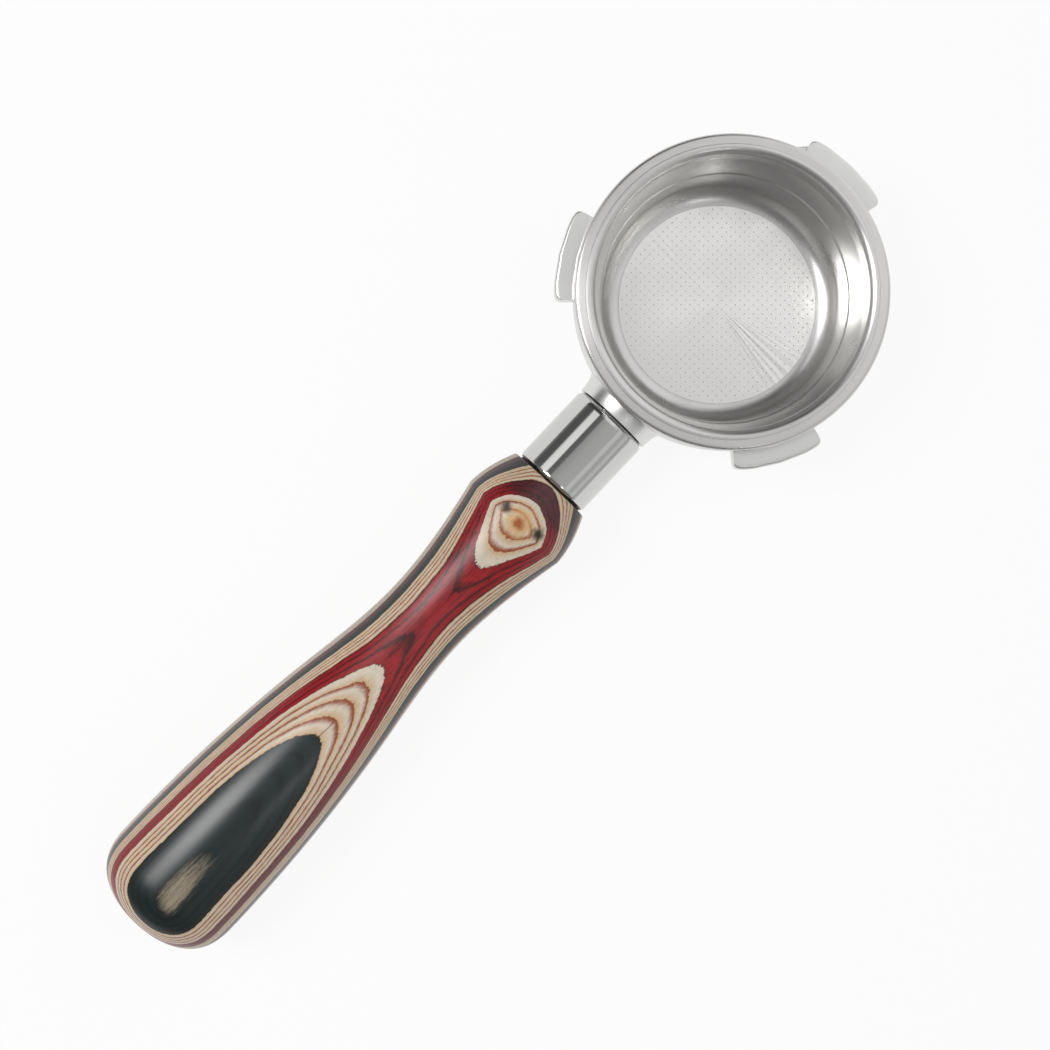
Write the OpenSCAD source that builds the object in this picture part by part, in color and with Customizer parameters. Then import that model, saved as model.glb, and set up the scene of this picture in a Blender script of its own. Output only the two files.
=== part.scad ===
// Naked portafilter: a three-lug head ring with a lift-out filter basket, a polished neck
// and a screw-on handle turned from a block of dyed veneers.
// Millimetres. Z is the head axis and the handle points along +X.
// Z = 0 is the top end of the straight wall in the basket's mouth.

/* [Head] */
// Outer diameter of the ring at its top
ring_d = 62; // [61.6:0.1:64]
// Outer diameter of the ring at its foot
foot_d = 58.4; // [57.6:0.1:60]
// Height from the foot of the ring to the top of the basket's lip
head_h = 28; // [27.4:0.1:32]
// Diameter across the bayonet lugs
lug_d = 70; // [68:0.5:74]
// Width of one lug, in degrees about the head axis
lug_angle = 31; // [24:1:36]
// Thickness of one lug
lug_t = 5; // [4:0.1:6]
// Drop from the top of the lip to the top of the lugs
lug_drop = 3.7; // [3.2:0.1:5]

/* [Basket] */
// Inner diameter of the basket's straight mouth
mouth_d = 54.1; // [53.6:0.1:54.6]
// Outer diameter of the basket's lip
lip_d = 62.3; // [61.8:0.1:64]
// Inner depth of the basket below the top of its lip
basket_depth = 25; // [24:0.1:25.4]
// Inner diameter of the basket at its floor
floor_d = 45.4; // [44:0.1:46.5]
// Thickness of the basket's sheet
sheet_t = 0.8; // [0.6:0.05:0.9]
// Diameter of one hole in the filter floor
hole_d = 0.26; // [0.2:0.01:0.6]
// Distance between neighbouring holes
hole_pitch = 1.35; // [1.2:0.05:3]
// Turn of the rows of holes from the handle's line, in degrees
hole_turn = -1.7; // [-45:0.1:45]

/* [Neck] */
// Diameter of the polished neck
neck_d = 17; // [15:0.5:18]
// Distance from the head axis to the wooden handle's front face
handle_x = 52; // [50:0.5:60]
// Diameter of the stud that carries the handle
stud_d = 10; // [8:0.5:10]

/* [Handle] */
// Length of the wooden handle
handle_len = 121.5; // [110:0.5:135]
// Diameter of the handle's front face
front_d = 19; // [17.5:0.1:20]
// Diameter of the ridge behind the front face
ridge_d = 24.3; // [22:0.1:24.5]
// Diameter of the waist
waist_d = 17.74; // [16.5:0.1:19]
// Diameter of the belly
belly_d = 29.9; // [28:0.1:30]
// Roll of the veneer stack about the handle's line, in degrees
stack_roll = -3; // [-10:0.5:10]

/* [Hidden] */
$fn = 96;

// Heights on the head axis
mouth_round = 1.5;
lip_t = 1.2;
lip_top_z = mouth_round;
ring_top_z = lip_top_z - lip_t;
foot_z = lip_top_z - head_h;
lug_top_z = lip_top_z - lug_drop;
floor_z = lip_top_z - basket_depth;

// The handle's line runs a hair over the surface that the ring stands on
belly_gap = 0.25;
axis_z = foot_z + belly_d / 2 + belly_gap;

// Ring wall
ring_r = ring_d / 2;
foot_r = foot_d / 2;
ring_edge = 0.4;
ring_bore_r = 28.35;
ring_bore_end_z = -14;
foot_bore_r = 26.6;
foot_land = 1;
flank_top_z = -9;
flank_steps = 8;

// Bayonet lugs: one faces away from the handle, and the others stand evenly from it
lug_turns = [60, 180, 300];
lug_root_r = 29.6;
lug_corner = 1.5;
lug_edge = 0.7;
lug_lead_angle = 24;
lug_lead_len = 5;
stop_angle = 7;
stop_r = 33.4;
stop_drop = 1.2;

// Spring wire and its groove
wire_r = 0.6;
wire_z = -2.7;
wire_ring_r = mouth_d / 2 + sheet_t + wire_r + 0.05;
wire_gap_angle = 30;
groove_r = wire_ring_r + wire_r + 0.1;
groove_half = wire_r + 0.15;

// Basket wall below the mouth
mouth_r = mouth_d / 2;
lip_r = lip_d / 2;
lip_round = 0.8;
lip_edge = 0.2;
lip_step = 0.15;
lip_step_r = 28.9;
mouth_end_z = -3.6;
step_z = -10.8;
step_r = 25.55;
step_in = 0.35;
step_h = 0.4;
floor_r = floor_d / 2;
floor_bend = 1.9;

// Filter floor and the ledge that it lies on
screen_t = 0.5;
screen_r = floor_r - floor_bend;
screen_gap = 0.03;
ledge_w = 0.45;
field_r = screen_r - ledge_w - 0.2;
field_steps = floor(field_r / hole_pitch);

// Neck, boss and stud along the handle's line
neck_r = neck_d / 2;
neck_edge = 0.8;
neck_edge_steps = 5;
boss_x = 33.5;
boss_fillet = 2;
boss_run = 5;
boss_steps = 8;
spigot_r = 5;
spigot_len = 3;
fit_gap = 0.03;
washer_t = 0.35;
washer_r = neck_r - neck_edge + 0.2;
neck_end_x = handle_x - washer_t;
stud_r = stud_d / 2;
stud_start_x = 38.5;
stud_end_x = handle_x + 18;
stud_edge = 0.8;
thread_gap = 0.05;

// Brass insert in the handle's front end
insert_r = 7;
insert_core_r = 6.3;
insert_recess = 0.5;
insert_len = 18;
insert_ridges = 6;
insert_bore_len = 19;
stud_room_r = stud_r + 0.5;
stud_room_len = 24;

// Stations of the turned handle: distance from the front face, then the slope of its outline
front_edge = 0.3;
front_slope = 0.46;
ridge_s = 10.5;
ridge_slope_in = 0.03;
ridge_slope_out = -0.2;
waist_s = 36.5;
swell_s = 58;
swell_r = waist_d / 2 + 2.2;
swell_slope = 0.155;
belly_s = handle_len - 12;
cap_power = 2.7;

// Levels of the glue lines above the middle of the veneer stack
stack_levels = [3.3, 4.6, 5.9, 8, 9.85, 12.4, 16];
slab_half_w = 20;

// Colours
satin_steel = "#c9c9c7";
polished_steel = "#dfe0e2";
wire_steel = "#9a9c9e";
black_rubber = "#1d1d1e";
brass = "#c2a25a";
natural_wood = "#d3bf9f";
plum_wood = "#6b3c3c";
green_wood = "#343c3a";
red_wood = "#962b2b";
black_wood = "#2c3231";

// A point at radius r and angle a
function polar(r, a) = [r * cos(a), r * sin(a)];

// Points of an arc about a centre, from one angle to another
function arc(centre, r, from, to, steps) =
    [for (i = [0:steps]) centre + polar(r, from + (to - from) * i / steps)];

// Points of a cubic from p to q, whose slopes at the two ends are m and n
function cubic(p, q, m, n, steps) =
    [for (i = [0:steps - 1])
        let (t = i / steps, run = q.x - p.x)
        [p.x + t * run,
         p.y * (1 + 2 * t) * pow(1 - t, 2) + q.y * t * t * (3 - 2 * t)
         + run * (m * t * pow(1 - t, 2) - n * t * t * (1 - t))]];

// Points of a quarter superellipse from its widest place to its tip on the axis
function rounded_end(start, len, r, power, steps) =
    [for (i = [0:steps])
        let (a = 90 * i / steps)
        [start + len * pow(sin(a), 2 / power), r * pow(cos(a), 2 / power)]];

// Outline of the turned handle, as distance from the front face and radius
function handle_outline() = concat(
    [[0, 0], [0, front_d / 2 - 2 * front_edge]],
    cubic([front_edge, front_d / 2], [ridge_s, ridge_d / 2], front_slope, ridge_slope_in, 8),
    cubic([ridge_s, ridge_d / 2], [waist_s, waist_d / 2], ridge_slope_out, 0, 10),
    cubic([waist_s, waist_d / 2], [swell_s, swell_r], 0, swell_slope, 8),
    cubic([swell_s, swell_r], [belly_s, belly_d / 2], swell_slope, 0, 12),
    rounded_end(belly_s, handle_len - belly_s, belly_d / 2, cap_power, 14));

// Puts a shape made along +Z onto the handle's line, with its start at x
module along_handle(x) {
    translate([x, 0, axis_z])
        rotate([0, 90, 0])
            children();
}

// The outside of the ring: a straight top, then a flank that swells gently in to the foot
module ring_outside() {
    flank_h = flank_top_z - foot_z;
    rotate_extrude()
        polygon(concat(
            [[0, foot_z]],
            [for (i = [0:flank_steps])
                let (t = i / flank_steps)
                [foot_r + (ring_r - foot_r) * sin(90 * t), foot_z + flank_h * t]],
            [[ring_r, ring_top_z - ring_edge], [ring_r - ring_edge, ring_top_z], [0, ring_top_z]]));
}

// The space inside the ring, with the groove for the spring wire
module ring_inside() {
    over = 1;
    rotate_extrude()
        polygon([
            [0, foot_z - over],
            [foot_bore_r, foot_z - over],
            [foot_bore_r, foot_z + foot_land],
            [ring_bore_r, ring_bore_end_z],
            [ring_bore_r, wire_z - groove_half],
            [groove_r, wire_z - groove_half],
            [groove_r, wire_z + groove_half],
            [ring_bore_r, wire_z + groove_half],
            [ring_bore_r, ring_top_z - ring_edge],
            [ring_bore_r + ring_edge, ring_top_z],
            [ring_bore_r + ring_edge, ring_top_z + over],
            [0, ring_top_z + over]
        ]);
}

// One lug on +X: a wedge of plate with round corners, a broken outer edge and a lead-in below
module lug() {
    half = lug_angle / 2;
    corner_r = lug_d / 2 - lug_corner;
    corner_a = half - asin(lug_corner / corner_r);
    lead_y = lug_root_r * sin(half) - lug_lead_len;
    far_corner = arc(polar(corner_r, corner_a), lug_corner, half + 90, corner_a, 5);
    near_corner = arc(polar(corner_r, -corner_a), lug_corner, -corner_a, -half - 90, 5);
    rim = arc([0, 0], lug_d / 2, corner_a, -corner_a, 14);
    body_r = lug_d / 2 + 0.1;
    difference() {
        intersection() {
            translate([0, 0, lug_top_z - lug_t])
                linear_extrude(lug_t)
                    polygon(concat([polar(lug_root_r, half)], far_corner, rim, near_corner,
                                   [polar(lug_root_r, -half)]));
            rotate_extrude()
                polygon([
                    [0, lug_top_z - lug_t - 1],
                    [body_r - lug_edge, lug_top_z - lug_t - 1],
                    [body_r - lug_edge, lug_top_z - lug_t],
                    [body_r, lug_top_z - lug_t + lug_edge],
                    [body_r, lug_top_z - lug_edge],
                    [body_r - lug_edge, lug_top_z],
                    [body_r - lug_edge, lug_top_z + 1],
                    [0, lug_top_z + 1]
                ]);
        }
        translate([0, lead_y, lug_top_z - lug_t])
            rotate([lug_lead_angle, 0, 0])
                translate([0, 0, -lug_t])
                    cube([lug_d, 3 * lug_lead_len, lug_t]);
    }
}

// Low web beside the lug that faces away from the handle, which stops the turn in the machine
module stop_web() {
    from = lug_angle / 2 - 1;
    to = lug_angle / 2 + stop_angle;
    translate([0, 0, lug_top_z - lug_t])
        linear_extrude(lug_t - stop_drop)
            polygon([
                polar(lug_root_r, from),
                polar(stop_r, from),
                polar(ring_r - 0.2, to),
                polar(lug_root_r, to)
            ]);
}

// The boss that flares from the neck's diameter into the ring's wall, along a quarter ellipse
module boss() {
    along_handle(boss_x - boss_run)
        rotate_extrude()
            polygon(concat(
                [[0, 0]],
                [for (i = [0:boss_steps])
                    let (a = 90 * i / boss_steps)
                    [neck_r + boss_fillet * (1 - sin(a)), boss_run * (1 - cos(a))]],
                [[0, boss_run]]));
}

// Cast ring with its three lugs and the boss for the neck
module head_ring() {
    color(satin_steel)
        difference() {
            union() {
                ring_outside();
                boss();
                for (turn = lug_turns)
                    rotate([0, 0, turn])
                        lug();
                rotate([0, 0, 180])
                    stop_web();
            }
            ring_inside();
            along_handle(boss_x - spigot_len - fit_gap)
                cylinder(r = spigot_r + fit_gap, h = spigot_len + 1);
        }
}

// Polished bar with a spigot for the boss and a blind hole for the stud
module neck() {
    len = neck_end_x - boss_x;
    color(polished_steel)
        difference() {
            along_handle(boss_x)
                rotate_extrude()
                    polygon(concat(
                        [[0, -spigot_len], [spigot_r, -spigot_len], [spigot_r, 0], [neck_r, 0]],
                        arc([neck_r - neck_edge, len - neck_edge], neck_edge, 0, 90, neck_edge_steps),
                        [[0, len]]));
            along_handle(stud_start_x - fit_gap)
                cylinder(r = stud_r + fit_gap, h = neck_end_x - stud_start_x + 1);
        }
}

// Inner face of the basket from the lip's edge down to its floor
function basket_inside() = concat(
    arc([mouth_r + mouth_round, 0], mouth_round, 90, 180, 6),
    [[mouth_r, mouth_end_z], [step_r, step_z], [step_r - step_in, step_z - step_h]],
    arc([screen_r, floor_z + floor_bend], floor_bend, 10, -90, 6));

// Pressed cup with a rolled lip, a step in its wall and a ledge for the filter floor
module filter_basket() {
    out_r = mouth_r + sheet_t;
    under_z = floor_z - sheet_t;
    flange_z = lip_top_z - lip_step;
    color(satin_steel)
        rotate_extrude()
            polygon(concat(
                arc([lip_r - lip_round, flange_z - lip_round], lip_round, 0, 90, 5),
                [[lip_step_r + lip_step, flange_z], [lip_step_r, lip_top_z]],
                basket_inside(),
                [
                    [screen_r, floor_z - screen_t],
                    [screen_r - ledge_w, floor_z - screen_t],
                    [screen_r - ledge_w, under_z],
                    [screen_r, under_z]
                ],
                arc([screen_r, floor_z + floor_bend], floor_bend + sheet_t, -75, 10, 6),
                [
                    [step_r - step_in + sheet_t, step_z - step_h],
                    [step_r + sheet_t, step_z],
                    [out_r, mouth_end_z],
                    [out_r, ring_top_z],
                    [lip_r - lip_edge, ring_top_z],
                    [lip_r, ring_top_z + lip_edge]
                ]));
}

// Perforated floor: a disc with a square grid of fine holes inside a round field
module filter_floor() {
    color(satin_steel)
        translate([0, 0, floor_z - screen_t])
            linear_extrude(screen_t)
                difference() {
                    circle(r = screen_r - screen_gap);
                    rotate(hole_turn)
                        for (i = [-field_steps:field_steps], j = [-field_steps:field_steps])
                            if (norm([i, j]) * hole_pitch < field_r)
                                translate([i, j] * hole_pitch)
                                    circle(d = hole_d, $fn = 16);
                }
}

// Open wire ring that lies in the ring's groove and grips the basket
module basket_spring() {
    color(wire_steel)
        translate([0, 0, wire_z])
            rotate([0, 0, wire_gap_angle / 2])
                rotate_extrude(angle = 360 - wire_gap_angle)
                    translate([wire_ring_r, 0])
                        circle(r = wire_r, $fn = 24);
}

// Stud fixed in the neck, which the handle screws onto
module handle_stud() {
    len = stud_end_x - stud_start_x;
    color(wire_steel)
        along_handle(stud_start_x)
            rotate_extrude()
                polygon([
                    [0, 0],
                    [stud_r - stud_edge, 0],
                    [stud_r, stud_edge],
                    [stud_r, len - stud_edge],
                    [stud_r - stud_edge, len],
                    [0, len]
                ]);
}

// Thin black washer between the neck and the wood
module neck_washer() {
    color(black_rubber)
        along_handle(neck_end_x)
            difference() {
                cylinder(r = washer_r, h = washer_t);
                translate([0, 0, -1])
                    cylinder(r = stud_r + 0.3, h = washer_t + 2);
            }
}

// Brass insert with barbed ridges outside and the stud's hole through it
module handle_insert() {
    ridge = insert_len / insert_ridges;
    barbs = [for (i = [0:insert_ridges - 1], p = [[insert_core_r, 0], [insert_r, 0.75]])
        [p.x, (i + p.y) * ridge]];
    color(brass)
        along_handle(handle_x + insert_recess)
            difference() {
                rotate_extrude()
                    polygon(concat([[0, 0]], barbs, [[insert_core_r, insert_len], [0, insert_len]]));
                translate([0, 0, -1])
                    cylinder(r = stud_r + thread_gap, h = insert_len + 2);
            }
}

// The whole handle as it comes off the lathe, bored for the insert and the stud's end
module handle_turning() {
    along_handle(handle_x)
        difference() {
            rotate_extrude()
                polygon([for (p = handle_outline()) [p.y, p.x]]);
            translate([0, 0, -1])
                cylinder(r = insert_r + fit_gap, h = insert_bore_len + 1);
            cylinder(r = stud_room_r, h = stud_room_len);
        }
}

// One band of the veneer stack between two levels
module veneer(low, high) {
    intersection() {
        handle_turning();
        translate([0, 0, axis_z])
            rotate([stack_roll, 0, 0])
                translate([handle_x - 1, -slab_half_w, low])
                    cube([handle_len + 2, 2 * slab_half_w, high - low]);
    }
}

// Band n above the core, counted from the middle
module upper_band(n) {
    veneer(stack_levels[n - 1], stack_levels[n]);
}

// Band n below the core, counted from the middle
module lower_band(n) {
    veneer(-stack_levels[n], -stack_levels[n - 1]);
}

module veneer_core_natural() {
    color(natural_wood)
        veneer(-stack_levels[0], stack_levels[0]);
}

module veneer_plum_upper() {
    color(plum_wood)
        upper_band(1);
}

module veneer_plum_lower() {
    color(plum_wood)
        lower_band(1);
}

module veneer_green_upper() {
    color(green_wood)
        upper_band(2);
}

module veneer_green_lower() {
    color(green_wood)
        lower_band(2);
}

module veneer_inner_natural_upper() {
    color(natural_wood)
        upper_band(3);
}

module veneer_inner_natural_lower() {
    color(natural_wood)
        lower_band(3);
}

module veneer_red_upper() {
    color(red_wood)
        upper_band(4);
}

module veneer_red_lower() {
    color(red_wood)
        lower_band(4);
}

module veneer_outer_natural_upper() {
    color(natural_wood)
        upper_band(5);
}

module veneer_outer_natural_lower() {
    color(natural_wood)
        lower_band(5);
}

module veneer_black_upper() {
    color(black_wood)
        upper_band(6);
}

module veneer_black_lower() {
    color(black_wood)
        lower_band(6);
}

head_ring();
neck();
filter_basket();
filter_floor();
basket_spring();
handle_stud();
neck_washer();
handle_insert();
veneer_core_natural();
veneer_plum_upper();
veneer_plum_lower();
veneer_green_upper();
veneer_green_lower();
veneer_inner_natural_upper();
veneer_inner_natural_lower();
veneer_red_upper();
veneer_red_lower();
veneer_outer_natural_upper();
veneer_outer_natural_lower();
veneer_black_upper();
veneer_black_lower();
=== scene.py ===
from math import cos, pi, radians, sin, tan

import bmesh
import bpy
import numpy as np
from mathutils import Matrix, Vector


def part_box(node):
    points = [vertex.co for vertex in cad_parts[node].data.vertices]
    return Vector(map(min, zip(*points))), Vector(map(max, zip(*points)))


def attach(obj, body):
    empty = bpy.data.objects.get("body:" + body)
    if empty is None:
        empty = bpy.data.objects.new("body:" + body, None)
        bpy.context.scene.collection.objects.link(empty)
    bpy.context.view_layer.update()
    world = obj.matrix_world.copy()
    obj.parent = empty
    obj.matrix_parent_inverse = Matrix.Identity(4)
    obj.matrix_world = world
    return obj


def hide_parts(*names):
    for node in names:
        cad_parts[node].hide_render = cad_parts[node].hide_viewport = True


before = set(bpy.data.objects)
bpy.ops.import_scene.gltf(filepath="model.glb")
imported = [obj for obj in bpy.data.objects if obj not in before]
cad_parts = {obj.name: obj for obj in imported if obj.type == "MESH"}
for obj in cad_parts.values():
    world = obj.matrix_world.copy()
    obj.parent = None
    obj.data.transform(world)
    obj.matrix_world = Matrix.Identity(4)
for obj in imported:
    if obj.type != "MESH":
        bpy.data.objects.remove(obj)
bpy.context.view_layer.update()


# Head ring
# One stainless casting, tumbled to a satin finish: a round wall that narrows to its foot, three
# bayonet lugs that lock it into the machine, and a low web beside the rear lug that stops the turn.
MM = 0.001
foot_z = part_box("head_ring")[0].z / MM
ring_top_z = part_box("head_ring")[1].z / MM
ring_r = 31
foot_r = 29.2
flank_top_z = -9
bore_r = 28.35
bore_end_z = -14
foot_bore_r = 26.6
foot_land = 1
foot_edge = 0.3
ring_edge = 0.4
cast_edge = 0.3
# a straight starts this far past the round of a root or an edge, so that no point is doubled
past_root = 0.5
past_edge = 0.4

lug_r = 35
lug_turns = (60, 180, 300)
lug_pitch = 120
lug_half_angle = 15.5
lug_top_z = -2.2
lug_bottom_z = -7.2
lug_edge = 0.7
lug_root = 0.4
lug_squareness = 9
lug_blend = 0.5
lead_in_rise = 1.335

stop_turn = 180
stop_r = 33.4
stop_end_angle = 22.5
stop_drop = 1.2


def arc(centre, radius, start, end, steps):
    """Points on a circle about a centre, from one angle in degrees to another, both included."""
    angle = np.radians(np.linspace(start, end, steps))
    return np.stack([centre[0] + radius * np.cos(angle), centre[1] + radius * np.sin(angle)], 1)


def line(start, end, steps):
    """Evenly spaced points from start up to, and without, end."""
    share = np.linspace(0, 1, steps, endpoint=False)[:, None]
    return np.array(start, float) * (1 - share) + np.array(end, float) * share


def grid_piece(name, points, closed, sharp_angle=35):
    """A piece from an array of points in mm, rows by columns. Each row is a ring; where closed is
    true the last row joins the first, and a row that has shrunk to a point becomes a pole."""
    rows, columns = points.shape[:2]
    index = np.arange(rows * columns).reshape(rows, columns)
    if closed:
        index = np.vstack([index, index[:1]])
    beside = np.roll(index, -1, axis=1)
    faces = np.stack([index[:-1], beside[:-1], beside[1:], index[1:]], -1).reshape(-1, 4)
    mesh = bpy.data.meshes.new(name)
    mesh.from_pydata(points.reshape(-1, 3) * MM, [], faces.tolist())
    shell = bmesh.new()
    shell.from_mesh(mesh)
    bmesh.ops.remove_doubles(shell, verts=shell.verts, dist=0.002 * MM)
    bmesh.ops.recalc_face_normals(shell, faces=shell.faces)
    shell.to_mesh(mesh)
    shell.free()
    mesh.shade_smooth()
    mesh.set_sharp_from_angle(angle=radians(sharp_angle))
    piece = bpy.data.objects.new(name, mesh)
    bpy.context.scene.collection.objects.link(piece)
    return piece


def ring_wall_r(z):
    """Outer radius of the ring at a height: straight above, then a quarter sine in to the foot."""
    share = np.clip((z - foot_z) / (flank_top_z - foot_z), 0, 1)
    return foot_r + (ring_r - foot_r) * np.sin(pi / 2 * share)


def ring_plan():
    """Angles round the ring with each lug's share of its full reach there. A lug's plan is a
    superellipse, so its ends are steep and its corners round; the web falls off in a straight line."""
    sweep = np.linspace(0, pi, 45)
    lug_angle = -np.sign(np.cos(sweep)) * np.abs(np.cos(sweep)) ** (2 / lug_squareness)
    lug_reach = np.abs(np.sin(sweep)) ** (2 / lug_squareness)
    lug_reach[[0, -1]] = 0
    gap = np.linspace(lug_half_angle, lug_pitch - lug_half_angle, 62)[1:-1]
    angle = np.concatenate([np.append(turn + lug_half_angle * lug_angle, turn + gap) for turn in lug_turns])
    reach = np.tile(np.append(lug_reach, 0 * gap), len(lug_turns))
    fall = (stop_turn + stop_end_angle - angle) / (stop_end_angle - lug_half_angle)
    web = np.where(angle > stop_turn, np.clip(fall, 0, 1), 0) * (stop_r - ring_r) / (lug_r - ring_r)
    drop = np.where(web > reach, stop_drop, 0)
    return np.radians(angle), np.maximum(reach, web), drop


def head_ring():
    """Carries the ring's section round its axis. At each angle the part of the section in front of
    the lugs stands out from the wall by that angle's reach. One half of a lug's underside is raised
    as its lead-in, and the top of the web is lowered."""
    lug = np.concatenate([
        arc((ring_r + lug_root, lug_top_z + lug_root), lug_root, 180, 270, 5),
        line((ring_r + lug_root + past_root, lug_top_z), (lug_r - lug_edge, lug_top_z), 5),
        arc((lug_r - lug_edge, lug_top_z - lug_edge), lug_edge, 90, 0, 7),
        line((lug_r, lug_top_z - lug_edge - past_edge), (lug_r, lug_bottom_z + lug_edge), 6),
        arc((lug_r - lug_edge, lug_bottom_z + lug_edge), lug_edge, 0, -90, 7),
        line((lug_r - lug_edge - past_edge, lug_bottom_z), (ring_r + lug_root, lug_bottom_z), 5),
        arc((ring_r + lug_root, lug_bottom_z - lug_root), lug_root, 90, 180, 5)])
    flank_z = np.linspace(lug_bottom_z - lug_root - past_root, foot_z + foot_edge, 22)
    above = np.concatenate([
        line((bore_r + ring_edge, ring_top_z), (ring_r - ring_edge, ring_top_z), 4),
        arc((ring_r - ring_edge, ring_top_z - ring_edge), ring_edge, 90, 0, 6)])
    below = np.concatenate([
        np.stack([ring_wall_r(flank_z), flank_z], 1),
        line((foot_r - foot_edge, foot_z), (foot_bore_r, foot_z), 4),
        line((foot_bore_r, foot_z), (foot_bore_r, foot_z + foot_land), 2),
        line((foot_bore_r, foot_z + foot_land), (bore_r, bore_end_z), 10),
        line((bore_r, bore_end_z), (bore_r, ring_top_z - ring_edge), 12),
        arc((bore_r + ring_edge, ring_top_z - ring_edge), ring_edge, 180, 110, 4)])
    flat = lug.copy()
    flat[:, 0] = ring_r
    wall = np.concatenate([above, flat, below])
    full = np.concatenate([above, lug, below])
    angle, reach, drop = ring_plan()
    r = wall[:, :1] + (full - wall)[:, :1] * reach
    z = np.repeat(full[:, 1:], len(angle), 1)
    in_lug = np.zeros(len(full), bool)
    in_lug[len(above):len(above) + len(lug)] = True
    low_share = np.clip((lug_top_z - z) / (lug_top_z - lug_bottom_z), 0, 1)
    first_half = np.degrees(angle) % lug_pitch < lug_pitch / 2
    raised = lead_in_rise * first_half * low_share ** 2 - drop * (1 - low_share)
    z = z + np.where(in_lug[:, None], raised, 0) * np.clip((r - ring_r) / lug_blend, 0, 1)
    return np.stack([r * np.cos(angle), r * np.sin(angle), z], -1)


def linear(code):
    """An sRGB hex colour as the linear RGBA that the shaders take."""
    share = np.array([int(code[i:i + 2], 16) for i in (1, 3, 5)]) / 255
    rgb = np.where(share <= 0.04045, share / 12.92, ((share + 0.055) / 1.055) ** 2.4)
    return (*rgb.tolist(), 1)


def add(tree, kind, inputs=(), **settings):
    """Adds a shader node with its settings. An input is a plain value, another node, which gives its
    first output, or a chosen output."""
    made = tree.nodes.new("ShaderNode" + kind)
    for name, value in settings.items():
        setattr(made, name, value)
    for socket, value in dict(inputs).items():
        if isinstance(value, bpy.types.Node):
            value = value.outputs[0]
        if isinstance(value, bpy.types.NodeSocket):
            tree.links.new(value, made.inputs[socket])
        else:
            made.inputs[socket].default_value = value
    return made


def new_finish(name, **values):
    """A new material with its main shader's plain values set, such as Base_Color or Roughness."""
    material = bpy.data.materials.new(name)
    material.use_nodes = True
    tree = material.node_tree
    shader = tree.nodes["Principled BSDF"]
    for socket, value in values.items():
        shader.inputs[socket.replace("_", " ")].default_value = value
    return material, tree, shader


def dress(piece, material):
    """Gives a piece its material."""
    piece.data.materials.clear()
    piece.data.materials.append(material)


# Cast stainless steel, tumbled: soft broad reflections, with a fine pebbled grain and faint patches
# where the tumbling has polished it more.
def tumbled_steel():
    pebble = 0.35
    patch = 6
    material, tree, shader = new_finish("tumbled stainless casting", Base_Color=linear("#dededc"),
                                        Metallic=1)
    place = add(tree, "TexCoord").outputs["Object"]
    grain = add(tree, "TexNoise", {"Vector": place, "Scale": 1 / (pebble * MM), "Detail": 2})
    shine = add(tree, "TexNoise", {"Vector": place, "Scale": 1 / (patch * MM), "Detail": 3})
    rough = add(tree, "MapRange", {"Value": shine, "From Min": 0.3, "From Max": 0.7,
                                   "To Min": 0.28, "To Max": 0.36})
    bump = add(tree, "Bump", {"Height": grain, "Strength": 0.12, "Distance": 0.03 * MM})
    tree.links.new(rough.outputs[0], shader.inputs["Roughness"])
    tree.links.new(bump.outputs[0], shader.inputs["Normal"])
    return material


cast_steel = tumbled_steel()
ring = grid_piece("head_ring_casting", head_ring(), closed=True)
dress(ring, cast_steel)
soften = ring.modifiers.new("cast edges", "BEVEL")
soften.width = cast_edge * MM
soften.segments = 3
soften.limit_method = "ANGLE"
soften.angle_limit = radians(40)
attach(ring, "head")
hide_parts("head_ring")


# Basket spring
# An open ring of hard-drawn steel wire, about 1.2 mm thick. It is wound, cut and sprung into a groove
# of the head ring, where it grips the basket.


# Hard-drawn spring steel: a bright grey, slightly uneven from the die.
def drawn_wire_steel():
    die_mark = 0.15
    material, tree, shader = new_finish("drawn spring steel", Base_Color=linear("#a9aaab"), Metallic=1,
                                        Roughness=0.3)
    place = add(tree, "TexCoord").outputs["Object"]
    marks = add(tree, "TexNoise", {"Vector": place, "Scale": 1 / (die_mark * MM), "Detail": 1})
    bump = add(tree, "Bump", {"Height": marks, "Strength": 0.15, "Distance": 0.02 * MM})
    tree.links.new(bump.outputs[0], shader.inputs["Normal"])
    return material


wire_steel = drawn_wire_steel()
dress(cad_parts["basket_spring"], wire_steel)


# Filter basket
# A cup pressed and ironed from one stainless blank. A flat lip with a fine step rolls into a straight
# mouth for the tamper; below a crease the wall tapers to a shallow step, and from there it falls
# steeply to the round of the floor.
lip_r = 31.15
lip_round = 0.8
lip_top_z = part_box("filter_basket")[1].z / MM
lip_under_z = ring_top_z
lip_step = 0.15
lip_step_r = 28.9
mouth_r = 27.05
mouth_round = 1.5
mouth_end_z = -3.6
wall_step_r = 25.55
wall_step_z = -10.8
wall_step_in = 0.35
wall_step_h = 0.9
upper_bow = 0.25
lower_slope = 4.5
basket_floor_z = -23.5
sheet_t = 0.8
screen_r = 20.8
screen_t = 0.5
ledge_w = 0.45
ledge_edge = 0.05
lip_chamfer = 0.2
past_lip = 0.3


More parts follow.
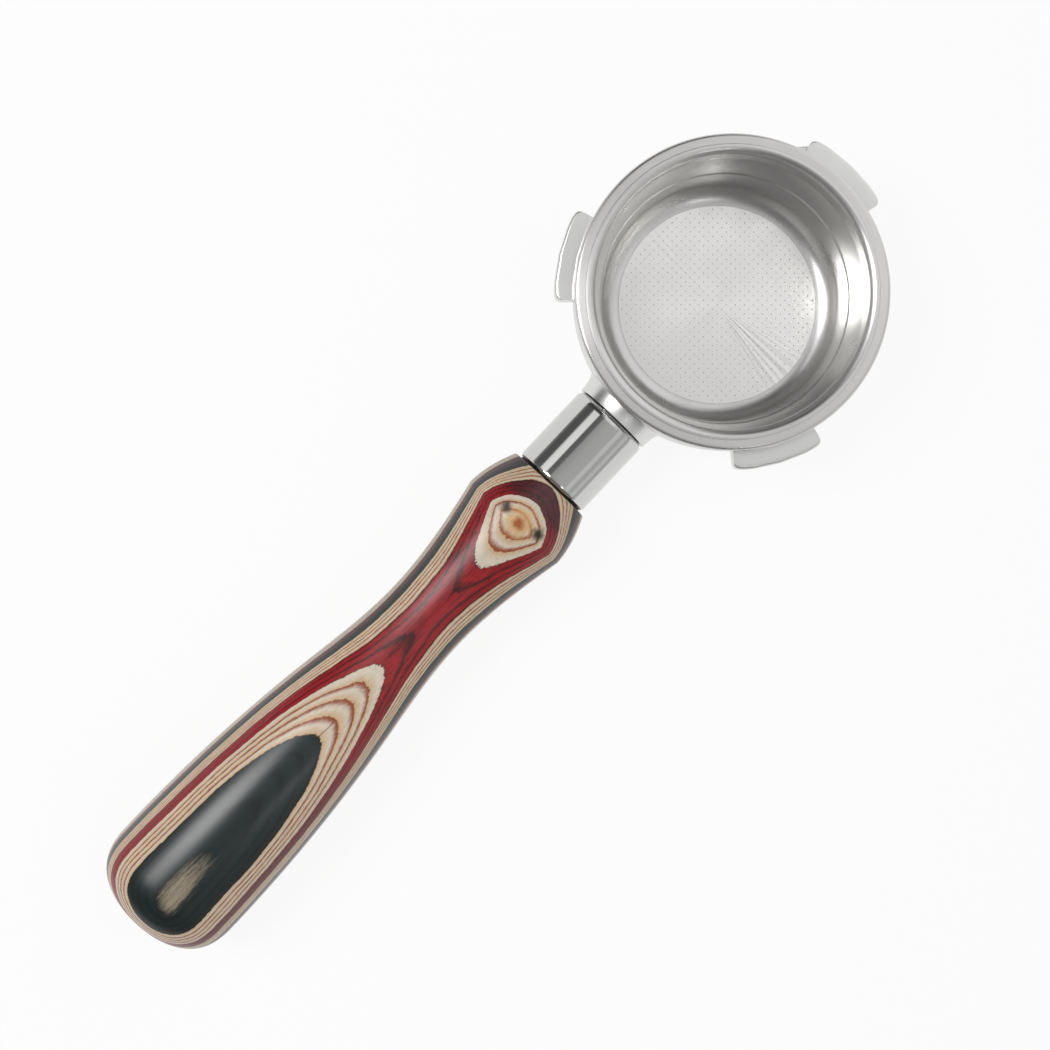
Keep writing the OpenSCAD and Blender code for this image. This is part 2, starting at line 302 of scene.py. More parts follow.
def basket_section():
    """The cup's closed section as radius and height: over the lip, down the inner wall, which bows
    in a little above its step and rounds into the ledge of the floor, and up the outer wall. The
    round is the circle that touches both the floor's level and the lower wall."""
    flange_z = lip_top_z - lip_step
    under_z = basket_floor_z - sheet_t
    inner_step = (wall_step_r - wall_step_in, wall_step_z - wall_step_h)
    out_r = mouth_r + sheet_t
    step_share = np.linspace(0, 1, 10, endpoint=False)
    lean = radians(lower_slope)
    drop = inner_step[1] - basket_floor_z
    round_r = (inner_step[0] - screen_r - drop * tan(lean)) / (cos(lean) - (1 + sin(lean)) * tan(lean))
    round_z = basket_floor_z + round_r
    wall_foot = (screen_r + round_r * cos(lean), round_z + round_r * sin(lean))
    upper_wall = line((mouth_r, mouth_end_z), (wall_step_r, wall_step_z), 24)
    upper_wall[:, 0] -= upper_bow * np.sin(np.linspace(0, pi, 24, endpoint=False))
    return np.concatenate([
        arc((lip_r - lip_round, flange_z - lip_round), lip_round, 0, 90, 10),
        line((lip_r - lip_round - past_lip, flange_z), (lip_step_r + lip_step, flange_z), 4),
        line((lip_step_r + lip_step, flange_z), (lip_step_r, lip_top_z), 4),
        arc((mouth_r + mouth_round, lip_top_z - mouth_round), mouth_round, 90, 180, 14),
        line((mouth_r, lip_top_z - mouth_round - past_lip), (mouth_r, mouth_end_z), 6),
        upper_wall,
        np.stack([wall_step_r - wall_step_in * (1 - np.cos(pi * step_share)) / 2,
                  wall_step_z - wall_step_h * step_share], 1),
        line(inner_step, wall_foot, 12),
        arc((screen_r, round_z), round_r, lower_slope, -90, 28),
        line((screen_r, basket_floor_z - ledge_edge), (screen_r, basket_floor_z - screen_t), 2),
        line((screen_r, basket_floor_z - screen_t), (screen_r - ledge_w, basket_floor_z - screen_t), 2),
        line((screen_r - ledge_w, basket_floor_z - screen_t), (screen_r - ledge_w, under_z), 2),
        line((screen_r - ledge_w, under_z), (screen_r, under_z), 2),
        arc((screen_r, round_z), round_r + sheet_t, -88, lower_slope, 16),
        line((inner_step[0] + sheet_t, inner_step[1]), (wall_step_r + sheet_t, wall_step_z), 2),
        line((wall_step_r + sheet_t, wall_step_z), (out_r, mouth_end_z), 6),
        line((out_r, mouth_end_z), (out_r, lip_under_z), 6),
        line((out_r, lip_under_z), (lip_r - lip_chamfer, lip_under_z), 3),
        line((lip_r - lip_chamfer, lip_under_z), (lip_r, lip_under_z + lip_chamfer), 3)])


def turned(section, steps):
    """Carries a section of radius and height round the Z axis."""
    angle = np.linspace(0, 2 * pi, steps, endpoint=False)
    r, z = section[:, :1], section[:, 1:]
    return np.stack([r * np.cos(angle), r * np.sin(angle), np.repeat(z, steps, 1)], -1)


# the settings of a MapRange that eases in and out
smooth = {"interpolation_type": "SMOOTHSTEP"}


# Pressed stainless sheet, spun bright: reflections are clear along the wall and drawn out across the
# fine rings that the forming left, which run round the axis at a tenth of a millimetre or so.
def spun_steel(name, colour, roughness, spread, depth, crease=0):
    # the real rings are about 0.1 mm apart, and are drawn coarser so that they don't shimmer
    ring_spacing = 0.4
    patch = 9
    creases_per_turn = 110
    material, tree, shader = new_finish(name, Base_Color=linear(colour), Metallic=1, Anisotropic=spread,
                                        Anisotropic_Rotation=0.25)
    place = add(tree, "TexCoord").outputs["Object"]
    x, y, z = add(tree, "SeparateXYZ", {0: place}).outputs
    level = add(tree, "VectorMath", {0: place, 1: (1, 1, 0)}, operation="MULTIPLY")
    radius = add(tree, "VectorMath", {0: level}, operation="LENGTH").outputs["Value"]
    rings = add(tree, "CombineXYZ", {"X": radius, "Y": z})
    fine = add(tree, "TexNoise", {"Vector": rings, "Scale": 1 / (ring_spacing * MM), "Detail": 2})
    soft = add(tree, "TexNoise", {"Vector": place, "Scale": 1 / (patch * MM), "Detail": 3})
    rough = add(tree, "MapRange", {"Value": soft, "From Min": 0.3, "From Max": 0.7,
                                   "To Min": roughness - 0.04, "To Max": roughness + 0.04})
    bump = add(tree, "Bump", {"Height": fine, "Strength": depth, "Distance": 0.02 * MM})
    if crease:
        # creases fan out from the middle along Y, and are deepest on its positive side
        angle = add(tree, "Math", {0: y, 1: x}, operation="ARCTAN2")
        fans = add(tree, "TexNoise", {"W": angle, "Scale": creases_per_turn / (2 * pi), "Detail": 0},
                   noise_dimensions="1D")
        side = add(tree, "Math", {0: x, 1: radius}, operation="DIVIDE")
        side = add(tree, "Math", {0: side}, operation="ABSOLUTE")
        here = add(tree, "MapRange", {"Value": side, "From Min": 0.42, "From Max": 0.12}, **smooth)
        clear = add(tree, "MapRange", {"Value": radius, "From Min": 1.5 * MM, "From Max": 7 * MM})
        near = add(tree, "MapRange", {"Value": y, "From Min": -5 * MM, "From Max": 5 * MM, "To Min": 0.15})
        for limit in (here, clear, near):
            fans = add(tree, "Math", {0: fans, 1: limit}, operation="MULTIPLY")
        bump = add(tree, "Bump", {"Height": fans, "Strength": crease, "Distance": 0.05 * MM,
                                  "Normal": bump})
    round_axis = add(tree, "Tangent", direction_type="RADIAL", axis="Z")
    tree.links.new(rough.outputs[0], shader.inputs["Roughness"])
    tree.links.new(bump.outputs[0], shader.inputs["Normal"])
    tree.links.new(round_axis.outputs[0], shader.inputs["Tangent"])
    return material


# ironing has pressed the rings of the cup flat, so that they only spread its light
basket_steel = spun_steel("pressed stainless sheet", "#d6d5d3", roughness=0.3, spread=0.6, depth=0)
basket = grid_piece("filter_basket_cup", turned(basket_section(), 256), closed=True)
dress(basket, basket_steel)
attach(basket, "basket")
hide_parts("filter_basket")


# Filter floor
# The perforated bottom: a thin stainless disc with a square grid of about seven hundred pierced
# holes. It was ground flat, so it throws a fan of light across its fine rings.
ground_steel = spun_steel("ground perforated stainless", "#eeedeb", roughness=0.24, spread=0.5,
                          depth=0.05, crease=0.55)
dress(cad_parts["filter_floor"], ground_steel)


# Neck
# A round stainless bar between the head and the wood, mirror polished. It meets the ring at a satin
# boss, which flares into the casting's wall, and a spigot on its end is fixed there.
neck_low, neck_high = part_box("neck")
neck_r = (neck_high.y - neck_low.y) / 2 / MM
axis_z = (neck_low.z + neck_high.z) / 2 / MM
neck_start_x = 33.5
neck_end_x = neck_high.x / MM
neck_edge = 0.8
neck_root = 1.4
neck_bore_r = 5.03
boss_fillet = 2
boss_run = 4.9
past_face = 0.1


def along_handle(section, steps):
    """Carries a section of distance along X and radius round the handle's line."""
    angle = np.linspace(0, 2 * pi, steps, endpoint=False)
    x, r = section[:, :1], section[:, 1:]
    return np.stack([np.repeat(x, steps, 1), r * np.sin(angle), axis_z + r * np.cos(angle)], -1)


# Stainless steel, mirror polished: sharp reflections, with the slight waviness and the faint hair
# lines that hand polishing leaves.
def mirror_steel():
    wave = 5
    hair = 0.25
    material, tree, shader = new_finish("polished stainless bar", Base_Color=linear("#cccccb"), Metallic=1)
    place = add(tree, "TexCoord").outputs["Object"]
    waves = add(tree, "TexNoise", {"Vector": place, "Scale": 1 / (wave * MM), "Detail": 1})
    hairs = add(tree, "TexNoise", {"Vector": place, "Scale": 1 / (hair * MM), "Detail": 2})
    rough = add(tree, "MapRange", {"Value": hairs, "From Min": 0.3, "From Max": 0.7,
                                   "To Min": 0.06, "To Max": 0.1})
    bump = add(tree, "Bump", {"Height": waves, "Strength": 0.05, "Distance": 0.08 * MM})
    tree.links.new(rough.outputs[0], shader.inputs["Roughness"])
    tree.links.new(bump.outputs[0], shader.inputs["Normal"])
    return material


polished_steel = mirror_steel()
neck_section = np.concatenate([
    line((neck_start_x, neck_bore_r), (neck_start_x, neck_r - neck_root), 4),
    arc((neck_start_x + neck_root, neck_r - neck_root), neck_root, 180, 90, 10),
    line((neck_start_x + neck_root + past_edge, neck_r), (neck_end_x - neck_edge, neck_r), 24),
    arc((neck_end_x - neck_edge, neck_r - neck_edge), neck_edge, 90, 0, 6),
    line((neck_end_x, neck_r - neck_edge - past_face), (neck_end_x, neck_bore_r), 4),
    line((neck_end_x, neck_bore_r), (neck_start_x, neck_bore_r), 4)])
neck = grid_piece("neck_bar", along_handle(neck_section, 160), closed=True)
dress(neck, polished_steel)
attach(neck, "head")
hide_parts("neck")
boss_bend = np.linspace(0, pi / 2, 20)
boss_section = np.concatenate([
    [[neck_start_x - boss_run, 0]],
    np.stack([neck_start_x - boss_run * np.cos(boss_bend),
              neck_r + boss_fillet * (1 - np.sin(boss_bend))], 1),
    [[neck_start_x, 0]]])
boss = grid_piece("neck_boss", along_handle(boss_section, 160), closed=False)
dress(boss, cast_steel)
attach(boss, "head")
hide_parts("head_ring")


# Handle stud
# A steel stud fixed in the neck, with a rolled thread of 1.5 mm pitch that the handle screws onto.
# It shows only while the handle is off its seat.
stud_low, stud_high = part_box("handle_stud")
stud_r = (stud_high.y - stud_low.y) / 2 / MM
thread_pitch = 1.5
thread_depth = 0.8
thread_runout = 0.9
crest_gap = 0.01


def threaded_stud(steps):
    """A bar whose radius falls from the crest by the thread's depth in a saw-tooth with flat crests
    and roots, which climbs one pitch for each turn; both ends taper in and close on the axis."""
    x = np.linspace(stud_low.x / MM, stud_high.x / MM, 230)[:, None]
    turn = np.linspace(0, 2 * pi, steps, endpoint=False)
    phase = (x / thread_pitch - turn / (2 * pi)) % 1
    tooth_slope, flat_crest = 1.25, 0.1
    tooth = np.clip(tooth_slope * np.abs(2 * phase - 1) - flat_crest, 0, 1)
    ends = np.minimum(x - x[0], x[-1] - x)
    r = stud_r - crest_gap - thread_depth * tooth
    r = np.minimum(r, stud_r - thread_runout + np.clip(ends, 0, thread_runout))
    r[[0, -1]] = 0
    return np.stack([np.repeat(x, steps, 1), r * np.sin(turn), axis_z + r * np.cos(turn)], -1)


stud = grid_piece("handle_stud_thread", threaded_stud(72), closed=False, sharp_angle=60)
dress(stud, wire_steel)
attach(stud, "head")
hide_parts("handle_stud")


# Neck washer
# A thin moulded ring of black rubber between the neck and the wood. It keeps the joint dry and lets
# the handle be tightened; it turns matt and slightly dusty with use.
washer_low, washer_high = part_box("neck_washer")
washer_r = (washer_high.y - washer_low.y) / 2 / MM
washer_bore_r = 5.3
washer_edge = 0.12


# Black moulded rubber: matt, with a faint grey bloom of dust.
def moulded_rubber():
    dust = 0.8
    material, tree, shader = new_finish("black moulded rubber", Roughness=0.62)
    place = add(tree, "TexCoord").outputs["Object"]
    noise = add(tree, "TexNoise", {"Vector": place, "Scale": 1 / (dust * MM), "Detail": 4})
    colour = add(tree, "ValToRGB", {"Fac": noise})
    colour.color_ramp.elements[0].color = linear("#131314")
    colour.color_ramp.elements[1].color = linear("#2a2a2a")
    bump = add(tree, "Bump", {"Height": noise, "Strength": 0.2, "Distance": 0.02 * MM})
    tree.links.new(colour.outputs[0], shader.inputs["Base Color"])
    tree.links.new(bump.outputs[0], shader.inputs["Normal"])
    return material


washer_start, washer_end = washer_low.x / MM, washer_high.x / MM
washer_section = np.concatenate([
    line((washer_start, washer_bore_r), (washer_start, washer_r - washer_edge), 3),
    arc((washer_start + washer_edge, washer_r - washer_edge), washer_edge, 180, 90, 5),
    arc((washer_end - washer_edge, washer_r - washer_edge), washer_edge, 90, 0, 5),
    line((washer_end, washer_r - washer_edge - past_face), (washer_end, washer_bore_r), 3),
    line((washer_end, washer_bore_r), (washer_start, washer_bore_r), 3)])
washer = grid_piece("neck_washer_ring", along_handle(washer_section, 128), closed=True)
dress(washer, moulded_rubber())
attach(washer, "washer")
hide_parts("neck_washer")


# Handle insert
# A turned brass bush with barbed ridges, pressed and glued into the wood, with the thread for the
# stud. Its front face lies just inside the handle's end.


# Turned brass: a warm yellow shine, broken by fine tool marks.
def turned_brass():
    tool_mark = 0.2
    material, tree, shader = new_finish("turned brass", Base_Color=linear("#c5a45c"), Metallic=1,
                                        Roughness=0.28)
    place = add(tree, "TexCoord").outputs["Object"]
    marks = add(tree, "TexNoise", {"Vector": place, "Scale": 1 / (tool_mark * MM), "Detail": 2})
    bump = add(tree, "Bump", {"Height": marks, "Strength": 0.15, "Distance": 0.02 * MM})
    tree.links.new(bump.outputs[0], shader.inputs["Normal"])
    return material


dress(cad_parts["handle_insert"], turned_brass())


# Turned handle
# A block of dyed birch veneers, glued flat and turned on a lathe: a short flare to a ridge, a waist,
# and a long belly with a rounded end. Cutting through the stack turns its plies into contour lines.
handle_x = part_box("veneer_core_natural")[0].x / MM
handle_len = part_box("veneer_core_natural")[1].x / MM - handle_x
front = (0.3, 9.5)
ridge = (10.5, 12.15)
waist = (36.5, 8.87)
swell = (58, 11.07)
belly = (handle_len - 12, 14.945)
front_edge = 0.45
front_slope = 0.46
ridge_slopes = (0.03, -0.2)
swell_slope = 0.155
cap_power = 2.7
insert_hole_r = 7.03
insert_hole_len = 19
stud_hole_r = 5.5
stud_hole_len = 24


def cubic(start, end, start_slope, end_slope, steps):
    """Points of the cubic between two stations that has the given slope at each."""
    share = np.linspace(0, 1, steps, endpoint=False)
    run = end[0] - start[0]
    rise = start[1] * (1 + 2 * share) * (1 - share) ** 2 + end[1] * share ** 2 * (3 - 2 * share)
    lean = run * (start_slope * share * (1 - share) ** 2 - end_slope * share ** 2 * (1 - share))
    return np.stack([start[0] + run * share, rise + lean], 1)


def handle_section():
    """The handle's outline as distance from its front face and radius: out of the hole for the stud,
    over the front face, along four cubics, and round a quarter superellipse to the tip."""
    turn = np.linspace(0, pi / 2, 48)
    cap_len = handle_len - belly[0]
    cap = np.stack([belly[0] + cap_len * np.sin(turn) ** (2 / cap_power),
                    belly[1] * np.abs(np.cos(turn)) ** (2 / cap_power)], 1)
    cap[-1, 1] = 0
    return np.concatenate([
        [[stud_hole_len, 0]],
        line((stud_hole_len, stud_hole_r), (insert_hole_len, stud_hole_r), 2),
        line((insert_hole_len, stud_hole_r), (insert_hole_len, insert_hole_r), 2),
        line((insert_hole_len, insert_hole_r), (0, insert_hole_r), 4),
        line((0, insert_hole_r), (0, front[1] - 2 * front[0]), 4),
        arc((front_edge, front[1] - front_edge), front_edge, 180, 110, 5),
        cubic(front, ridge, front_slope, ridge_slopes[0], 36),
        cubic(ridge, waist, ridge_slopes[1], 0, 60),
        cubic(waist, swell, 0, swell_slope, 50),
        cubic(swell, belly, swell_slope, 0, 80),
        cap])


# Dyed birch plies under satin lacquer. Each ply is darkest at its glue line and pales across its
# thickness; fibres along the handle fray the lines, and broad waves in the stack bend them.
stack_roll = 3
band_levels = (0, 3.3, 4.6, 5.9, 8, 9.85, 12.4, 16)
band_plies = (0, 5, 7, 9, 13, 16, 20, 26)
ply_tones = [
    # first ply, glue line, wood at the line's inner side, wood at the next line, streaks
    (0, "#9c7458", "#cdc3b3", "#bfb09b", 0.1),
    (5, "#3a2023", "#6b3537", "#5e3032", 0.7),
    (7, "#1b2323", "#2c3937", "#263230", 0.5),
    (9, "#cdb898", "#d6c5a8", "#caa67a", 0.1),
    (9.7, "#9a4d27", "#dcd0bb", "#cfb28c", 0.1),
    (13, "#4e1418", "#a61a22", "#93191f", 0.95),
    (16, "#dacdb9", "#dcd1bf", "#d0b48d", 0.1),
    (16.7, "#964620", "#ded4c3", "#d0ad83", 0.1),
    (20, "#161d1d", "#1f2929", "#1b2525", 0.5)]


def veneer_wood():
    material, tree, shader = new_finish("dyed birch veneers, satin lacquer")
    turn = Matrix.Rotation(radians(stack_roll), 3, "X")
    place = add(tree, "TexCoord").outputs["Object"]
    stack = add(tree, "Mapping", {
        "Vector": place, "Scale": (1 / MM,) * 3, "Rotation": (radians(stack_roll), 0, 0),
        "Location": -(turn @ Vector((handle_x, 0, axis_z)))})
    along, across, height = add(tree, "SeparateXYZ", {0: stack}).outputs
    # noise fields, by their grain in mm along the handle, across the plies and up the stack
    grain = {}
    for name, size, detail in (
            ("glue-up", (26, 14, 40), 2), ("strands", (6, 0.9, 0.9), 2), ("pores", (1.3, 0.24, 0.24), 1),
            ("wear", (7, 0.4, 0.4), 3), ("heart", (1.2, 1.2, 1.2), 3), ("crack", (2, 9, 9), 2),
            ("fibre", (7, 0.24, 0.24), 3), ("vein", (8, 0.42, 0.42), 3), ("cloud", (13, 5, 5), 2)):
        scaled = add(tree, "VectorMath", {0: stack, 1: tuple(1 / s for s in size)}, operation="MULTIPLY")
        noise = add(tree, "TexNoise", {"Vector": scaled, "Scale": 1, "Detail": detail})
        grain[name] = add(tree, "MapRange", {"Value": noise, "From Min": 0.25, "From Max": 0.75,
                                             "To Min": -1})

    # the height in the stack, bent by the glue-up and frayed by the pores
    level = height
    for name, rise in (("glue-up", 0.28), ("strands", 0.035), ("pores", 0.05)):
        level = add(tree, "Math", {0: grain[name], 1: rise, 2: level}, operation="MULTIPLY_ADD")
    level = add(tree, "Math", {0: level}, operation="ABSOLUTE")
    outer = add(tree, "MapRange", {"Value": level, "From Min": 1, "From Max": 9}, **smooth)
    for start, end, rise in ((11, 2.5, -1.15), (34, 20, -0.32)):
        bend = add(tree, "MapRange", {"Value": along, "From Min": start, "From Max": end, "To Max": rise},
                   **smooth)
        level = add(tree, "Math", {0: bend, 1: outer, 2: level}, operation="MULTIPLY_ADD")

    # the count of plies up to that height, and how far it is through the ply
    ply = 0
    for low, high, count in zip(band_levels, band_levels[1:], np.diff(band_plies).tolist()):
        part = add(tree, "MapRange", {"Value": level, "From Min": low, "From Max": high, "To Max": count})
        ply = add(tree, "Math", {0: ply, 1: part})
    through = add(tree, "Math", {0: ply}, operation="FRACT")
    share = add(tree, "Math", {0: ply, 1: band_plies[-1]}, operation="DIVIDE")
    tones = [add(tree, "ValToRGB", {"Fac": share}) for _ in range(4)]
    for column, tone in enumerate(tones):
        tone.color_ramp.interpolation = "CONSTANT"
        while len(tone.color_ramp.elements) < len(ply_tones):
            tone.color_ramp.elements.new(1)
        for element, row in zip(tone.color_ramp.elements, ply_tones):
            element.position = row[0] / band_plies[-1]
            value = row[column + 1]
            element.color = linear(value) if column < 3 else (value, value, value, 1)
    line_tone, early_tone, late_tone, streaked = tones
    clear = add(tree, "MapRange", {"Value": through, "From Min": 0.06, "From Max": 0.52}, **smooth)
    late = add(tree, "MapRange", {"Value": through, "From Min": 0.4})
    plies = add(tree, "Mix", {0: clear, 6: line_tone, 7: early_tone}, data_type="RGBA").outputs[2]
    plies = add(tree, "Mix", {0: late, 6: plies, 7: late_tone}, data_type="RGBA").outputs[2]

    # the top ply of the stack is worn through to a streaky patch on the crest of the belly
    worn = add(tree, "Math", {0: grain["wear"], 1: 0.1, 2: level}, operation="MULTIPLY_ADD")
    worn = add(tree, "Math", {0: across, 1: 0.06, 2: worn}, operation="MULTIPLY_ADD")
    worn = add(tree, "MapRange", {"Value": worn, "From Min": 14.62, "From Max": 14.98, "To Max": 0.85},
               **smooth)
    reach = add(tree, "Math", {0: grain["wear"], 1: 3, 2: along}, operation="MULTIPLY_ADD")
    reach = add(tree, "MapRange", {"Value": reach, "From Min": 97, "From Max": 102}, **smooth)
    worn = add(tree, "Math", {0: worn, 1: reach}, operation="MULTIPLY")
    plies = add(tree, "Mix", {0: worn, 6: plies, 7: linear("#a89a84")}, data_type="RGBA").outputs[2]

    # spots by place along and across, reach, colour and strength: a ply that the lathe has just
    # reached at the ridge, its heart, and a knot on each side of it
    for x, y, radius, colour, strength in (
            (9.9, 0, 4.6, "#dcb074", 0.85), (9.9, 0, 1.9, "#a4501f", 0.95),
            (9.3, -4.1, 1.7, "#33302d", 0.95), (8.9, 4.3, 1.9, "#262220", 1)):
        offset = add(tree, "CombineXYZ", {"X": along, "Y": across})
        spot = add(tree, "VectorMath", {0: offset, 1: (x, y, 0)}, operation="DISTANCE").outputs["Value"]
        spot = add(tree, "Math", {0: grain["heart"], 1: 0.45, 2: spot}, operation="MULTIPLY_ADD")
        spot = add(tree, "MapRange", {"Value": spot, "From Min": radius, "From Max": radius * 0.15,
                                      "To Max": strength}, **smooth)
        plies = add(tree, "Mix", {0: spot, 6: plies, 7: linear(colour)}, data_type="RGBA").outputs[2]

    # a short split before the tip of the black ply
    wander = add(tree, "Math", {0: grain["crack"], 1: -0.3, 2: across}, operation="MULTIPLY_ADD")
    crack_x = add(tree, "Math", {0: along, 1: 65, 2: 2.1}, operation="COMPARE")
    crack_y = add(tree, "Math", {0: wander, 1: 0.2}, operation="SUBTRACT")
    crack_y = add(tree, "Math", {0: crack_y}, operation="ABSOLUTE")
    crack = add(tree, "MapRange", {"Value": crack_y, "From Min": 0.22, "From Max": 0.05, "To Max": 0.7})
    crack = add(tree, "Math", {0: crack, 1: crack_x}, operation="MULTIPLY")
    plies = add(tree, "Mix", {0: crack, 6: plies, 7: linear("#7a5230")}, data_type="RGBA").outputs[2]

    # the dyed plies are darkest at the front end, where the dye soaked into the end grain
    soaked = add(tree, "Math", {0: grain["cloud"], 1: 1.5, 2: along}, operation="MULTIPLY_ADD")
    soaked = add(tree, "MapRange", {"Value": soaked, "From Min": 9, "From Max": 4, "To Max": 0.9}, **smooth)
    soaked = add(tree, "Math", {0: soaked, 1: streaked}, operation="MULTIPLY")
    plies = add(tree, "Mix", {0: soaked, 6: plies, 7: linear("#3b2124")}, data_type="RGBA").outputs[2]

    # fibres run along the handle, and take up more dye in some places than in others
    dark = 0
    for name, high, most in (("vein", 0.8, 0.6), ("cloud", 0.8, 0.4)):
        dye = add(tree, "MapRange", {"Value": grain[name], "From Max": high, "To Max": most}, **smooth)
        dark = add(tree, "Math", {0: dark, 1: dye})
    dark = add(tree, "Math", {0: dark, 1: 0.85}, operation="MINIMUM")
    fresh = add(tree, "MapRange", {"Value": along, "From Min": 45, "From Max": 75,
                                   "To Min": 1, "To Max": 0.2})
    dark = add(tree, "Math", {0: dark, 1: fresh}, operation="MULTIPLY")
    # they are also darker down one side of the belly, the side away from the softbox: this is painted shade
    rear = add(tree, "MapRange", {"Value": along, "From Min": 55, "From Max": 80})
    painted_side_shade = add(tree, "MapRange", {"Value": across, "From Min": 4, "From Max": 12, "To Max": 0.6})
    painted_side_shade = add(tree, "Math", {0: painted_side_shade, 1: rear}, operation="MULTIPLY")
    dark = add(tree, "Math", {0: dark, 1: painted_side_shade}, operation="MAXIMUM")
    dark = add(tree, "Math", {0: dark, 1: streaked}, operation="MULTIPLY")
    pale = add(tree, "Math", {0: 1, 1: dark}, operation="SUBTRACT")
    fibre = add(tree, "MapRange", {"Value": grain["fibre"], "From Min": -1, "To Min": 0.88, "To Max": 1.1})
    tone = add(tree, "Math", {0: fibre, 1: pale}, operation="MULTIPLY")
    toned = add(tree, "VectorMath", {0: plies, "Scale": tone}, operation="SCALE")
    bump = add(tree, "Bump", {"Height": fibre, "Strength": 0.05, "Distance": 0.03 * MM})
    # the lacquer is duller where fingers hold the waist
    dull = add(tree, "MapRange", {"Value": along, "From Min": 48, "From Max": 72,
                                  "To Min": 0.36, "To Max": 0.29})
    tree.links.new(dull.outputs[0], shader.inputs["Roughness"])
    tree.links.new(toned.outputs[0], shader.inputs["Base Color"])
    tree.links.new(bump.outputs[0], shader.inputs["Normal"])
    return material


handle_outline = handle_section() + np.array([handle_x, 0])
handle = grid_piece("turned_handle", along_handle(handle_outline, 224), closed=False)
dress(handle, veneer_wood())
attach(handle, "handle")
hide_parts(*[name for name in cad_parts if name.startswith("veneer_")])


# Studio
# A white table in a plain room: a large softbox at the left, a small strip lamp at the right, a dark
# lower wall behind the softbox, so that polished metal has edges to show, and a grey ceiling.
def studio_floor():
    """A flat square at the height of the foot, white to the camera and in reflections. It takes the
    object's shadow, and inside the circle of the head's foot a painted shadow darkens it further."""
    half = 3
    mesh = bpy.data.meshes.new("studio_floor")
    corners = [(-half, -half), (half, -half), (half, half), (-half, half)]
    mesh.from_pydata([(x, y, foot_z * MM) for x, y in corners], [], [(0, 1, 2, 3)])
    floor = bpy.data.objects.new("studio_floor", mesh)
    bpy.context.scene.collection.objects.link(floor)
    material, tree, shader = new_finish("white table", Base_Color=linear("#fafafa"), Roughness=0.9)
    path = add(tree, "LightPath").outputs
    seen = add(tree, "Math", {0: path["Is Camera Ray"], 1: path["Is Glossy Ray"]}, operation="MAXIMUM")
    seen = add(tree, "Math", {0: seen, 1: path["Is Transmission Ray"]}, operation="MAXIMUM")
    # under the head the table is really shaded, and a painted shadow also cuts its white there, which shows
    # through the holes of the basket
    place = add(tree, "TexCoord").outputs["Object"]
    level = add(tree, "VectorMath", {0: place, 1: (1, 1, 0)}, operation="MULTIPLY")
    away = add(tree, "VectorMath", {0: level}, operation="LENGTH").outputs["Value"]
    painted_shadow_share = add(tree, "MapRange", {"Value": away, "From Min": foot_bore_r * MM, "From Max": foot_r * MM,
                                 "To Min": 0.25, "To Max": 0.9})
    share = add(tree, "Math", {0: seen, 1: painted_shadow_share}, operation="MULTIPLY")
    white = add(tree, "Emission", {"Color": (1, 1, 1, 1), "Strength": 1})
    blend = add(tree, "MixShader", {0: share, 1: shader, 2: white})
    tree.links.new(blend.outputs[0], tree.nodes["Material Output"].inputs["Surface"])
    mesh.materials.append(material)


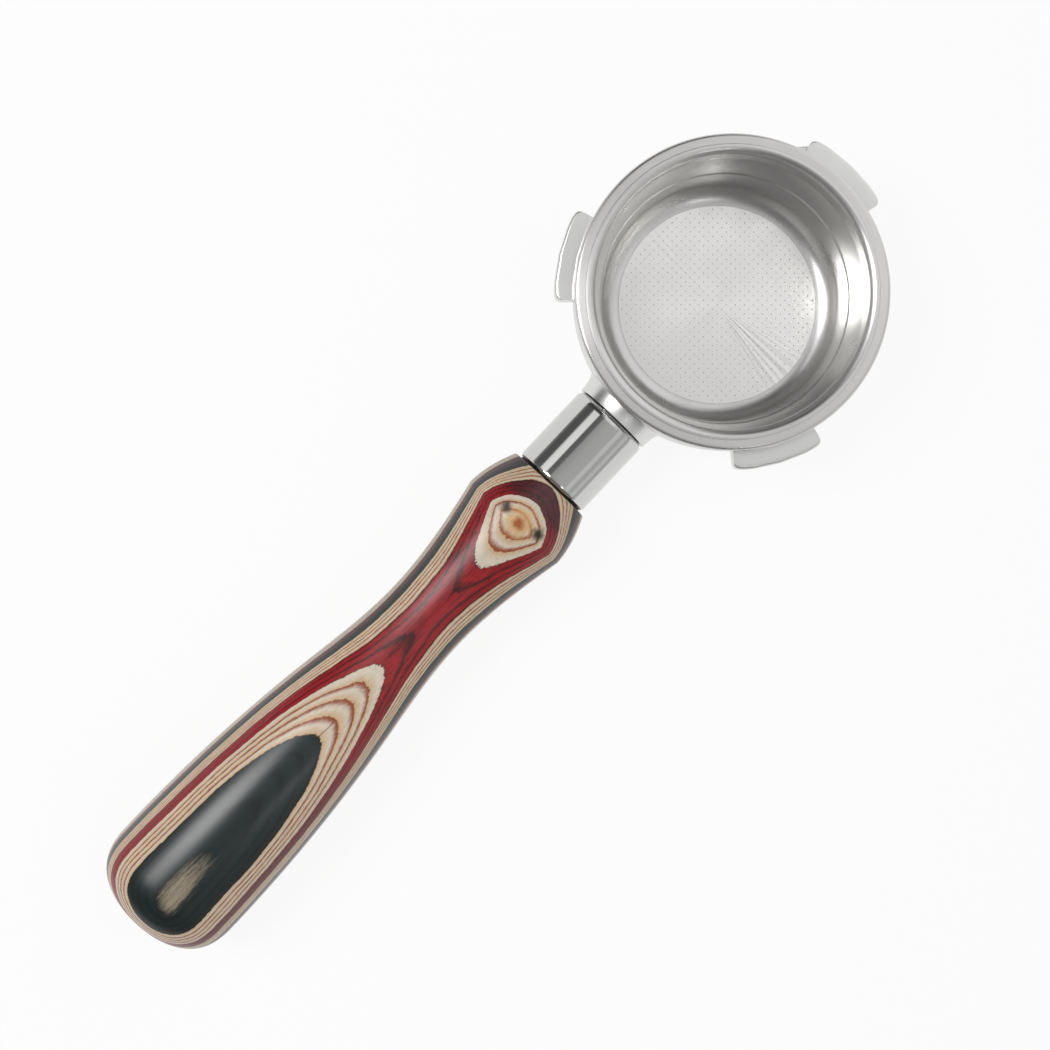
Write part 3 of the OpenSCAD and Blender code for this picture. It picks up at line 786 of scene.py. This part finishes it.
def studio_world():
    """Light from the room by direction: bands from the left wall over the ceiling to the right wall,
    with a dim end wall beyond the handle and a white panel beyond the head."""
    world = bpy.data.worlds.new("studio room")
    world.use_nodes = True
    tree = world.node_tree
    bpy.context.scene.world = world
    way = add(tree, "TexCoord").outputs["Generated"]
    along, across, up = add(tree, "SeparateXYZ", {0: way}).outputs
    # the slope of the direction to the left or right, seen along the handle
    flat = add(tree, "VectorMath", {0: way, 1: (0, 1, 1)}, operation="MULTIPLY")
    flat = add(tree, "VectorMath", {0: flat}, operation="NORMALIZE")
    slope = add(tree, "SeparateXYZ", {0: flat}).outputs["Y"]
    share = add(tree, "MapRange", {"Value": slope, "From Min": -1})
    room = add(tree, "ValToRGB", {"Fac": share})
    # brightness by that slope, from the left wall at -1 over the ceiling to the right wall at 1
    bands = [(-1, 0.3), (-0.97, 0.12), (-0.83, 0.12), (-0.77, 1.05), (-0.55, 1.1), (-0.51, 0.14),
             (-0.32, 0.16), (-0.24, 0.42), (0.1, 0.52), (0.58, 0.56), (0.63, 0.74), (0.74, 0.74),
             (0.78, 0.54), (0.87, 0.54), (0.9, 0.7), (0.95, 0.7), (0.97, 0.45), (1, 0.7)]
    while len(room.color_ramp.elements) < len(bands):
        room.color_ramp.elements.new(1)
    for element, (side, level) in zip(room.color_ramp.elements, bands):
        element.position = (side + 1) / 2
        element.color = (level, level, level, 1)
    # the end wall, a dark wall at the left of the head, and the panel with its two edges
    end_wall = (0.18, 0.18, 0.18, 1)
    dark_wall = (0.06, 0.06, 0.06, 1)
    far_end = add(tree, "MapRange", {"Value": along, "From Min": 0, "From Max": 0.45}, **smooth)
    room = add(tree, "Mix", {0: far_end, 6: room, 7: end_wall}, data_type="RGBA").outputs[2]
    dark_side = add(tree, "MapRange", {"Value": along, "From Min": -0.07, "From Max": -0.12})
    left = add(tree, "MapRange", {"Value": slope, "From Min": -0.2, "From Max": -0.3})
    dark_side = add(tree, "Math", {0: dark_side, 1: left}, operation="MULTIPLY")
    room = add(tree, "Mix", {0: dark_side, 6: room, 7: dark_wall}, data_type="RGBA").outputs[2]
    panel = add(tree, "MapRange", {"Value": along, "From Min": -0.05, "From Max": -0.2, "To Max": 0.95},
                **smooth)
    for low, high in ((-0.5, -0.2), (0.6, 0.25)):
        edge = add(tree, "MapRange", {"Value": across, "From Min": low, "From Max": high})
        panel = add(tree, "Math", {0: panel, 1: edge}, operation="MULTIPLY")
    room = add(tree, "Mix", {0: panel, 6: room, 7: (1, 1, 1, 1)}, data_type="RGBA").outputs[2]
    # the backdrop behind the table is white to the camera, and in reflections low over the table
    path = add(tree, "LightPath").outputs
    mirrored = add(tree, "Math", {0: path["Is Glossy Ray"], 1: path["Is Transmission Ray"]},
                   operation="MAXIMUM")
    low = add(tree, "MapRange", {"Value": up, "From Min": 0.12, "From Max": 0.06})
    low = add(tree, "Math", {0: mirrored, 1: low}, operation="MULTIPLY")
    white = add(tree, "Math", {0: path["Is Camera Ray"], 1: low}, operation="MAXIMUM")
    total = add(tree, "Mix", {0: white, 6: room, 7: (1, 1, 1, 1)}, data_type="RGBA")
    tree.links.new(total.outputs[2], tree.nodes["Background"].inputs["Color"])


def softbox(name, place, aim, size, watts):
    """An oval area lamp at a place, turned to look at its aim; places and size are in metres."""
    lamp = bpy.data.lights.new(name, "AREA")
    lamp.shape = "ELLIPSE"
    lamp.size, lamp.size_y = size
    lamp.energy = watts
    holder = bpy.data.objects.new(name, lamp)
    bpy.context.scene.collection.objects.link(holder)
    holder.location = place
    holder.rotation_euler = (Vector(aim) - Vector(place)).to_track_quat("-Z", "Y").to_euler()


studio_floor()
studio_world()
softbox("main softbox", place=(0.25, -0.33, 0.6), aim=(0.1, 0, 0), size=(0.22, 0.34), watts=2.3)
softbox("strip lamp", place=(0.16, 0.354, 0.58), aim=(0, 0, 0), size=(0.04, 0.12), watts=0.1)


# Camera
# It looks almost straight down on the middle of the handle, with the head at the upper right.
photo_focal_px = 1731
photo_px = 1050
camera_place = Vector((58.5, -8.5, 341.5)) * MM
camera_aim = Vector((61.3, 1.65, 1.5)) * MM
picture_up = Vector((-0.7273, -0.6864, 0))

lens = bpy.data.cameras.new("camera")
lens.sensor_width = 36
lens.lens = lens.sensor_width * photo_focal_px / photo_px
lens.clip_start = 0.01
camera = bpy.data.objects.new("camera", lens)
bpy.context.scene.collection.objects.link(camera)
ahead = (camera_aim - camera_place).normalized()
right = ahead.cross(picture_up).normalized()
up = right.cross(ahead)
camera.matrix_world = Matrix.Translation(camera_place) @ Matrix((right, up, -ahead)).transposed().to_4x4()
bpy.context.scene.camera = camera
bpy.context.scene.view_settings.view_transform = "Standard"
